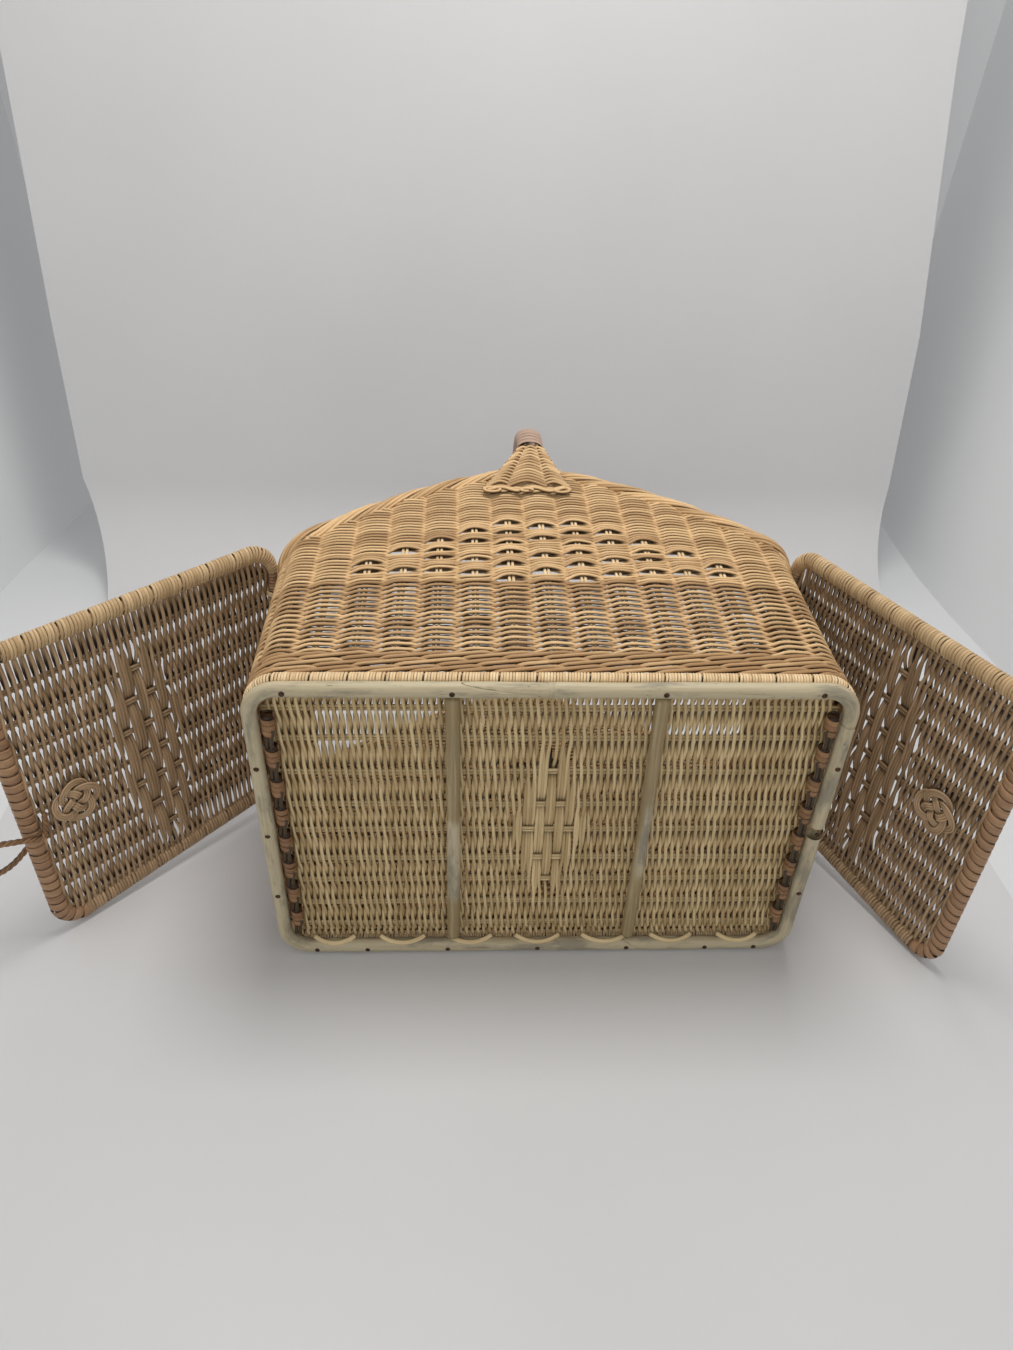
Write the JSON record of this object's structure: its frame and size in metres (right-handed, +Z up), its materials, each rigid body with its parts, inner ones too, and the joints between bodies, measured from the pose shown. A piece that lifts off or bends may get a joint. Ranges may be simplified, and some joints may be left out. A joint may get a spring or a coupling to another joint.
{
  "type": "picnic basket",
  "caption": "Gabled wicker picnic basket with a lid hinged at each end, a wrapped carrying handle across the middle and a reed closing loop, lying on its back wall with its lids open.",
  "frame": {"origin": "on the ground, in the middle of the rectangle that the basket and its open lids cover; the closing cord is left out", "axes": "+X along the basket's length, from the left lid to the right lid; +Y from the foot to the handle, nearly level because the basket lies on its back wall; +Z up"},
  "size_m": [0.7119, 0.466, 0.288],
  "materials": {
    "rattan_pole": "peeled rattan pole, dull and slightly greyed",
    "iron_nail": "dark flat nail head",
    "straw_reed": "straw-coloured round reed, satin",
    "brown_coil": "brown reed wound over rods, satin",
    "wall_reed": "golden-brown round reed, satin",
    "golden_reed": "golden fine reed, satin",
    "handle_strip": "taupe-brown flat strip, worn smooth",
    "dark_strip": "dark reddish-brown flat strip, satin",
    "pale_strip": "pale golden wound reed, satin",
    "lid_reed": "brown round reed, satin",
    "twisted_cord": "twisted reed cord, fibrous"
  },
  "bodies": {
    "basket": {"base_coil_left": "brown_coil", "base_coil_right": "brown_coil", "base_frame_left": "rattan_pole", "base_frame_right": "rattan_pole", "base_lashing_1": "straw_reed", "base_lashing_2": "straw_reed", "base_lashing_3": "straw_reed", "base_lashing_4": "straw_reed", "base_lashing_5": "straw_reed", "base_lashing_6": "straw_reed", "base_lashing_7": "straw_reed", "base_weave": "straw_reed", "cross_bar_left": "rattan_pole", "cross_bar_right": "rattan_pole", "fan_edge_back": "golden_reed", "fan_edge_front": "golden_reed", "foot_binding": "golden_reed", "frame_nail_1": "iron_nail", "frame_nail_10": "iron_nail", "frame_nail_11": "iron_nail", "frame_nail_12": "iron_nail", "frame_nail_13": "iron_nail", "frame_nail_14": "iron_nail", "frame_nail_15": "iron_nail", "frame_nail_16": "iron_nail", "frame_nail_17": "iron_nail", "frame_nail_2": "iron_nail", "frame_nail_3": "iron_nail", "frame_nail_4": "iron_nail", "frame_nail_5": "iron_nail", "frame_nail_6": "iron_nail", "frame_nail_7": "iron_nail", "frame_nail_8": "iron_nail", "frame_nail_9": "iron_nail", "handle_core": "golden_reed", "handle_fan_back": "golden_reed", "handle_fan_front": "golden_reed", "handle_wrap": "handle_strip", "hinge_loop_left_1": "golden_reed", "hinge_loop_left_2": "golden_reed", "hinge_loop_left_3": "golden_reed", "hinge_loop_right_1": "golden_reed", "hinge_loop_right_2": "golden_reed", "hinge_loop_right_3": "golden_reed", "rim_border": "wall_reed", "waling_band": "wall_reed", "wall_weave": "wall_reed"},
    "lid_left": {"closing_loop": "twisted_cord", "lid_left_free_edge_roll": "dark_strip", "lid_left_hinge_roll": "dark_strip", "lid_left_knot": "golden_reed", "lid_left_side_roll_back": "pale_strip", "lid_left_side_roll_front": "pale_strip", "lid_left_weave": "lid_reed"},
    "lid_right": {"lid_right_free_edge_roll": "dark_strip", "lid_right_hinge_roll": "dark_strip", "lid_right_knot": "golden_reed", "lid_right_side_roll_back": "pale_strip", "lid_right_side_roll_front": "pale_strip", "lid_right_weave": "lid_reed"}
  },
  "joints": [
    {"name": "lid_left_hinge", "type": "hinge", "parent": "basket", "child": "lid_left", "pos_m": [-0.17123, -0.01691, 0.13644], "axis": [0, -0.0593, 0.9982], "range_deg": [-183.5, 37]},
    {"name": "lid_right_hinge", "type": "hinge", "parent": "basket", "child": "lid_right", "pos_m": [0.23351, -0.01691, 0.13644], "axis": [0, 0.0593, -0.9982], "range_deg": [-202.5, 18]}
  ]
}
